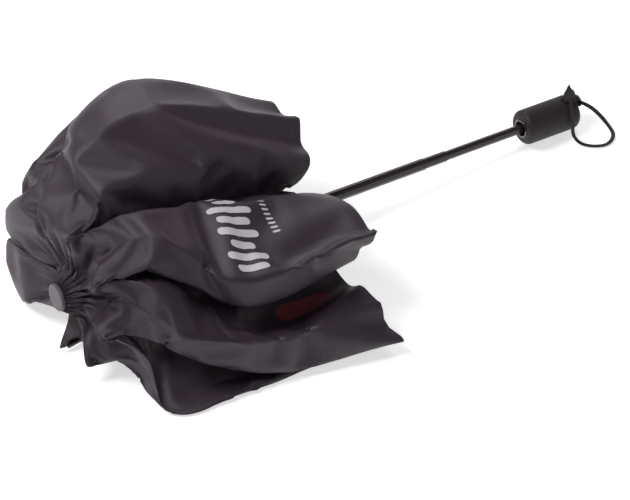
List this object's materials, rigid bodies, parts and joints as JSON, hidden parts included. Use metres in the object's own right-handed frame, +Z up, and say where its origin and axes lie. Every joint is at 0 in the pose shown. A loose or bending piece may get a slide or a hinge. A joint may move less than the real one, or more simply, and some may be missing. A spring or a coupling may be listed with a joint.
{
  "type": "folding umbrella",
  "caption": "Compact three-fold umbrella lying with its shaft drawn out and its dark canopy folded loose, with hinged ribs, sliding runner, telescoping shaft and wrist strap.",
  "frame": {"origin": "on the table, under the middle of the umbrella's box (without the wrist strap)", "axes": "+Z up from the table; +X level, from the crown towards the handle; the shaft lies in the XZ plane and drops by 5.62 degrees towards the handle"},
  "size_m": [0.5603, 0.2918, 0.1676],
  "materials": {
    "canopy_cloth": "dark aubergine water-repellent plain weave with a soft sheen",
    "cap_plastic": "plain mauve-grey satin plastic",
    "black_plastic": "moulded black plastic",
    "button_plastic": "smooth black plastic",
    "bare_wire": "bright steel wire",
    "shaft_steel": "semi-gloss black enamel on eight-sided steel tube",
    "rib_steel": "black enamel on folded steel channel and wire",
    "soft_touch": "soft-touch black coating, matt",
    "gloss_collar": "polished black ring",
    "ribbon": "narrow woven black ribbon"
  },
  "bodies": {
    "crown": {"crown_cap": "cap_plastic", "top_notch": "black_plastic", "notch_wire": "bare_wire", "tube_1": "shaft_steel", "panel_1": "canopy_cloth", "panel_2": "canopy_cloth", "panel_3": "canopy_cloth", "panel_4": "canopy_cloth", "panel_5": "canopy_cloth", "panel_6": "canopy_cloth", "panel_7": "canopy_cloth", "panel_8": "canopy_cloth"},
    "runner": {"runner": "black_plastic", "runner_wire": "bare_wire"},
    "runner_button": {"runner_button": "button_plastic"},
    "tube_2": {"tube_2": "shaft_steel", "tube_2_plug": "black_plastic"},
    "tube_3": {"tube_3": "shaft_steel", "tube_3_plug": "black_plastic"},
    "handle": {"tube_4": "shaft_steel", "tube_4_plug": "black_plastic", "handle_grip": "soft_touch", "handle_collar": "gloss_collar", "handle_core": "black_plastic", "wrist_strap": "ribbon", "strap_bunch": "ribbon", "strap_knot": "ribbon"},
    "top_rib_1": {"top_rib_1": "rib_steel"},
    "stretcher_1": {"stretcher_1": "rib_steel"},
    "mid_rib_1": {"mid_rib_1": "rib_steel"},
    "outer_rib_1": {"outer_rib_1": "rib_steel"},
    "top_rib_2": {"top_rib_2": "rib_steel"},
    "stretcher_2": {"stretcher_2": "rib_steel"},
    "mid_rib_2": {"mid_rib_2": "rib_steel"},
    "outer_rib_2": {"outer_rib_2": "rib_steel"},
    "top_rib_3": {"top_rib_3": "rib_steel"},
    "stretcher_3": {"stretcher_3": "rib_steel"},
    "mid_rib_3": {"mid_rib_3": "rib_steel"},
    "outer_rib_3": {"outer_rib_3": "rib_steel"},
    "top_rib_4": {"top_rib_4": "rib_steel"},
    "stretcher_4": {"stretcher_4": "rib_steel"},
    "mid_rib_4": {"mid_rib_4": "rib_steel"},
    "outer_rib_4": {"outer_rib_4": "rib_steel"},
    "top_rib_5": {"top_rib_5": "rib_steel"},
    "stretcher_5": {"stretcher_5": "rib_steel"},
    "mid_rib_5": {"mid_rib_5": "rib_steel"},
    "outer_rib_5": {"outer_rib_5": "rib_steel"},
    "top_rib_6": {"top_rib_6": "rib_steel"},
    "stretcher_6": {"stretcher_6": "rib_steel"},
    "mid_rib_6": {"mid_rib_6": "rib_steel"},
    "outer_rib_6": {"outer_rib_6": "rib_steel"},
    "top_rib_7": {"top_rib_7": "rib_steel"},
    "stretcher_7": {"stretcher_7": "rib_steel"},
    "mid_rib_7": {"mid_rib_7": "rib_steel"},
    "outer_rib_7": {"outer_rib_7": "rib_steel"},
    "top_rib_8": {"top_rib_8": "rib_steel"},
    "stretcher_8": {"stretcher_8": "rib_steel"},
    "mid_rib_8": {"mid_rib_8": "rib_steel"},
    "outer_rib_8": {"outer_rib_8": "rib_steel"}
  },
  "joints": [
    {"name": "runner_slide", "type": "slide", "parent": "crown", "child": "runner", "axis": [-0.9952, 0, 0.0979], "range_m": [0, 0.1249], "deforming": ["panel_1", "panel_2", "panel_3", "panel_4", "panel_5", "panel_6", "panel_7", "panel_8"]},
    {"name": "runner_button_press", "type": "slide", "parent": "runner", "child": "runner_button", "axis": [-0.0904, 0.3827, -0.9194], "range_m": [0, 0.001], "stiffness_N_per_m": 400},
    {"name": "tube_2_slide", "type": "slide", "parent": "crown", "child": "tube_2", "axis": [0.9952, 0, -0.0979], "range_m": [-0.123, 0]},
    {"name": "tube_3_slide", "type": "slide", "parent": "tube_2", "child": "tube_3", "axis": [0.9952, 0, -0.0979], "range_m": [-0.018, 0.05]},
    {"name": "handle_slide", "type": "slide", "parent": "tube_3", "child": "handle", "axis": [0.9952, 0, -0.0979], "range_m": [-0.077, 0.01]},
    {"name": "top_rib_1_hinge", "type": "hinge", "parent": "crown", "child": "top_rib_1", "pos_m": [-0.25817, 0.02648, 0.06696], "axis": [0.0979, 0, 0.9952], "range_deg": [0, 85.5]},
    {"name": "stretcher_1_hinge", "type": "hinge", "parent": "runner", "child": "stretcher_1", "pos_m": [-0.04414, 0.02648, 0.04822], "axis": [0.0979, 0, 0.9952], "range_deg": [-44.25, 0]},
    {"name": "mid_rib_1_hinge", "type": "hinge", "parent": "top_rib_1", "child": "mid_rib_1", "pos_m": [-0.07746, 0.03474, 0.04687], "axis": [0.0979, 0, 0.9952], "range_deg": [-179.8, 0]},
    {"name": "outer_rib_1_hinge", "type": "hinge", "parent": "mid_rib_1", "child": "outer_rib_1", "pos_m": [-0.25321, 0.07784, 0.06647], "axis": [0.0979, 0, 0.9952], "range_deg": [0, 158.6]},
    {"name": "top_rib_2_hinge", "type": "hinge", "parent": "crown", "child": "top_rib_2", "pos_m": [-0.25755, 0.02384, 0.07329], "axis": [0.0692, -0.7071, 0.7037], "range_deg": [0, 85.5]},
    {"name": "stretcher_2_hinge", "type": "hinge", "parent": "runner", "child": "stretcher_2", "pos_m": [-0.04358, 0.02222, 0.05388], "axis": [0.0692, -0.7071, 0.7037], "range_deg": [-44.25, 0]},
    {"name": "mid_rib_2_hinge", "type": "hinge", "parent": "top_rib_2", "child": "mid_rib_2", "pos_m": [-0.0762, 0.03131, 0.05969], "axis": [0.0692, -0.7071, 0.7037], "range_deg": [-179.8, 0]},
    {"name": "outer_rib_2_hinge", "type": "hinge", "parent": "mid_rib_2", "child": "outer_rib_2", "pos_m": [-0.24903, 0.06016, 0.10895], "axis": [0.0692, -0.7071, 0.7037], "range_deg": [0, 158.6]},
    {"name": "top_rib_3_hinge", "type": "hinge", "parent": "crown", "child": "top_rib_3", "pos_m": [-0.25729, 0.01748, 0.07592], "axis": [0, -1, 0], "range_deg": [0, 85.5]},
    {"name": "stretcher_3_hinge", "type": "hinge", "parent": "runner", "child": "stretcher_3", "pos_m": [-0.04348, 0.01518, 0.05488], "axis": [0, -1, 0], "range_deg": [-44.25, 0]},
    {"name": "mid_rib_3_hinge", "type": "hinge", "parent": "top_rib_3", "child": "mid_rib_3", "pos_m": [-0.07554, 0.01978, 0.06633], "axis": [0, -1, 0], "range_deg": [-179.8, 0]},
    {"name": "outer_rib_3_hinge", "type": "hinge", "parent": "mid_rib_3", "child": "outer_rib_3", "pos_m": [-0.2473, 0.01748, 0.12654], "axis": [0, -1, 0], "range_deg": [0, 158.6]},
    {"name": "top_rib_4_hinge", "type": "hinge", "parent": "crown", "child": "top_rib_4", "pos_m": [-0.25755, 0.01111, 0.07329], "axis": [-0.0692, -0.7071, -0.7037], "range_deg": [0, 85.5]},
    {"name": "stretcher_4_hinge", "type": "hinge", "parent": "runner", "child": "stretcher_4", "pos_m": [-0.0439, 0.00949, 0.05064], "axis": [-0.0692, -0.7071, -0.7037], "range_deg": [-44.25, 0]},
    {"name": "mid_rib_4_hinge", "type": "hinge", "parent": "top_rib_4", "child": "mid_rib_4", "pos_m": [-0.07588, 0.0069, 0.06292], "axis": [-0.0692, -0.7071, -0.7037], "range_deg": [-179.8, 0]},
    {"name": "outer_rib_4_hinge", "type": "hinge", "parent": "mid_rib_4", "child": "outer_rib_4", "pos_m": [-0.24903, -0.0252, 0.10895], "axis": [-0.0692, -0.7071, -0.7037], "range_deg": [0, 158.6]},
    {"name": "top_rib_5_hinge", "type": "hinge", "parent": "crown", "child": "top_rib_5", "pos_m": [-0.25817, 0.00848, 0.06696], "axis": [-0.0979, 0, -0.9952], "range_deg": [0, 85.5]},
    {"name": "stretcher_5_hinge", "type": "hinge", "parent": "runner", "child": "stretcher_5", "pos_m": [-0.04459, 0.00848, 0.04364], "axis": [-0.0979, 0, -0.9952], "range_deg": [-44.25, 0]},
    {"name": "mid_rib_5_hinge", "type": "hinge", "parent": "top_rib_5", "child": "mid_rib_5", "pos_m": [-0.07701, 0.00022, 0.05145], "axis": [-0.0979, 0, -0.9952], "range_deg": [-179.8, 0]},
    {"name": "outer_rib_5_hinge", "type": "hinge", "parent": "mid_rib_5", "child": "outer_rib_5", "pos_m": [-0.25321, -0.04288, 0.06647], "axis": [-0.0979, 0, -0.9952], "range_deg": [0, 158.6]},
    {"name": "top_rib_6_hinge", "type": "hinge", "parent": "crown", "child": "top_rib_6", "pos_m": [-0.2588, 0.01111, 0.06063], "axis": [-0.0692, 0.7071, -0.7037], "range_deg": [0, 85.5]},
    {"name": "stretcher_6_hinge", "type": "hinge", "parent": "runner", "child": "stretcher_6", "pos_m": [-0.04515, 0.01274, 0.03798], "axis": [-0.0692, 0.7071, -0.7037], "range_deg": [-44.25, 0]},
    {"name": "mid_rib_6_hinge", "type": "hinge", "parent": "top_rib_6", "child": "mid_rib_6", "pos_m": [-0.07827, 0.00365, 0.03864], "axis": [-0.0692, 0.7071, -0.7037], "range_deg": [-179.8, 0]},
    {"name": "outer_rib_6_hinge", "type": "hinge", "parent": "mid_rib_6", "child": "outer_rib_6", "pos_m": [-0.25738, -0.0252, 0.02399], "axis": [-0.0692, 0.7071, -0.7037], "range_deg": [0, 158.6]},
    {"name": "top_rib_7_hinge", "type": "hinge", "parent": "crown", "child": "top_rib_7", "pos_m": [-0.25905, 0.01748, 0.058], "axis": [0, 1, 0], "range_deg": [0, 85.5]},
    {"name": "stretcher_7_hinge", "type": "hinge", "parent": "runner", "child": "stretcher_7", "pos_m": [-0.04524, 0.01978, 0.03697], "axis": [0, 1, 0], "range_deg": [-44.25, 0]},
    {"name": "mid_rib_7_hinge", "type": "hinge", "parent": "top_rib_7", "child": "mid_rib_7", "pos_m": [-0.07892, 0.01518, 0.03199], "axis": [0, 1, 0], "range_deg": [-179.8, 0]},
    {"name": "outer_rib_7_hinge", "type": "hinge", "parent": "mid_rib_7", "child": "outer_rib_7", "pos_m": [-0.25911, 0.01748, 0.0064], "axis": [0, 1, 0], "range_deg": [0, 158.6]},
    {"name": "top_rib_8_hinge", "type": "hinge", "parent": "crown", "child": "top_rib_8", "pos_m": [-0.2588, 0.02384, 0.06063], "axis": [0.0692, 0.7071, 0.7037], "range_deg": [0, 85.5]},
    {"name": "stretcher_8_hinge", "type": "hinge", "parent": "runner", "child": "stretcher_8", "pos_m": [-0.04483, 0.02547, 0.04121], "axis": [0.0692, 0.7071, 0.7037], "range_deg": [-44.25, 0]},
    {"name": "mid_rib_8_hinge", "type": "hinge", "parent": "top_rib_8", "child": "mid_rib_8", "pos_m": [-0.07859, 0.02805, 0.0354], "axis": [0.0692, 0.7071, 0.7037], "range_deg": [-179.8, 0]},
    {"name": "outer_rib_8_hinge", "type": "hinge", "parent": "mid_rib_8", "child": "outer_rib_8", "pos_m": [-0.25738, 0.06016, 0.02399], "axis": [0.0692, 0.7071, 0.7037], "range_deg": [0, 158.6]}
  ],
  "couplings": [
    {"joint": "top_rib_1_hinge", "follows": "runner_slide", "rad_per_m": 11.934},
    {"joint": "stretcher_1_hinge", "follows": "runner_slide", "rad_per_m": -6.1692},
    {"joint": "mid_rib_1_hinge", "follows": "runner_slide", "rad_per_m": -25.112},
    {"joint": "outer_rib_1_hinge", "follows": "runner_slide", "rad_per_m": 22.149},
    {"joint": "top_rib_2_hinge", "follows": "runner_slide", "rad_per_m": 11.934},
    {"joint": "stretcher_2_hinge", "follows": "runner_slide", "rad_per_m": -6.1692},
    {"joint": "mid_rib_2_hinge", "follows": "runner_slide", "rad_per_m": -25.112},
    {"joint": "outer_rib_2_hinge", "follows": "runner_slide", "rad_per_m": 22.149},
    {"joint": "top_rib_3_hinge", "follows": "runner_slide", "rad_per_m": 11.934},
    {"joint": "stretcher_3_hinge", "follows": "runner_slide", "rad_per_m": -6.1692},
    {"joint": "mid_rib_3_hinge", "follows": "runner_slide", "rad_per_m": -25.112},
    {"joint": "outer_rib_3_hinge", "follows": "runner_slide", "rad_per_m": 22.149},
    {"joint": "top_rib_4_hinge", "follows": "runner_slide", "rad_per_m": 11.934},
    {"joint": "stretcher_4_hinge", "follows": "runner_slide", "rad_per_m": -6.1692},
    {"joint": "mid_rib_4_hinge", "follows": "runner_slide", "rad_per_m": -25.112},
    {"joint": "outer_rib_4_hinge", "follows": "runner_slide", "rad_per_m": 22.149},
    {"joint": "top_rib_5_hinge", "follows": "runner_slide", "rad_per_m": 11.934},
    {"joint": "stretcher_5_hinge", "follows": "runner_slide", "rad_per_m": -6.1692},
    {"joint": "mid_rib_5_hinge", "follows": "runner_slide", "rad_per_m": -25.112},
    {"joint": "outer_rib_5_hinge", "follows": "runner_slide", "rad_per_m": 22.149},
    {"joint": "top_rib_6_hinge", "follows": "runner_slide", "rad_per_m": 11.934},
    {"joint": "stretcher_6_hinge", "follows": "runner_slide", "rad_per_m": -6.1692},
    {"joint": "mid_rib_6_hinge", "follows": "runner_slide", "rad_per_m": -25.112},
    {"joint": "outer_rib_6_hinge", "follows": "runner_slide", "rad_per_m": 22.149},
    {"joint": "top_rib_7_hinge", "follows": "runner_slide", "rad_per_m": 11.934},
    {"joint": "stretcher_7_hinge", "follows": "runner_slide", "rad_per_m": -6.1692},
    {"joint": "mid_rib_7_hinge", "follows": "runner_slide", "rad_per_m": -25.112},
    {"joint": "outer_rib_7_hinge", "follows": "runner_slide", "rad_per_m": 22.149},
    {"joint": "top_rib_8_hinge", "follows": "runner_slide", "rad_per_m": 11.934},
    {"joint": "stretcher_8_hinge", "follows": "runner_slide", "rad_per_m": -6.1692},
    {"joint": "mid_rib_8_hinge", "follows": "runner_slide", "rad_per_m": -25.112},
    {"joint": "outer_rib_8_hinge", "follows": "runner_slide", "rad_per_m": 22.149}
  ]
}
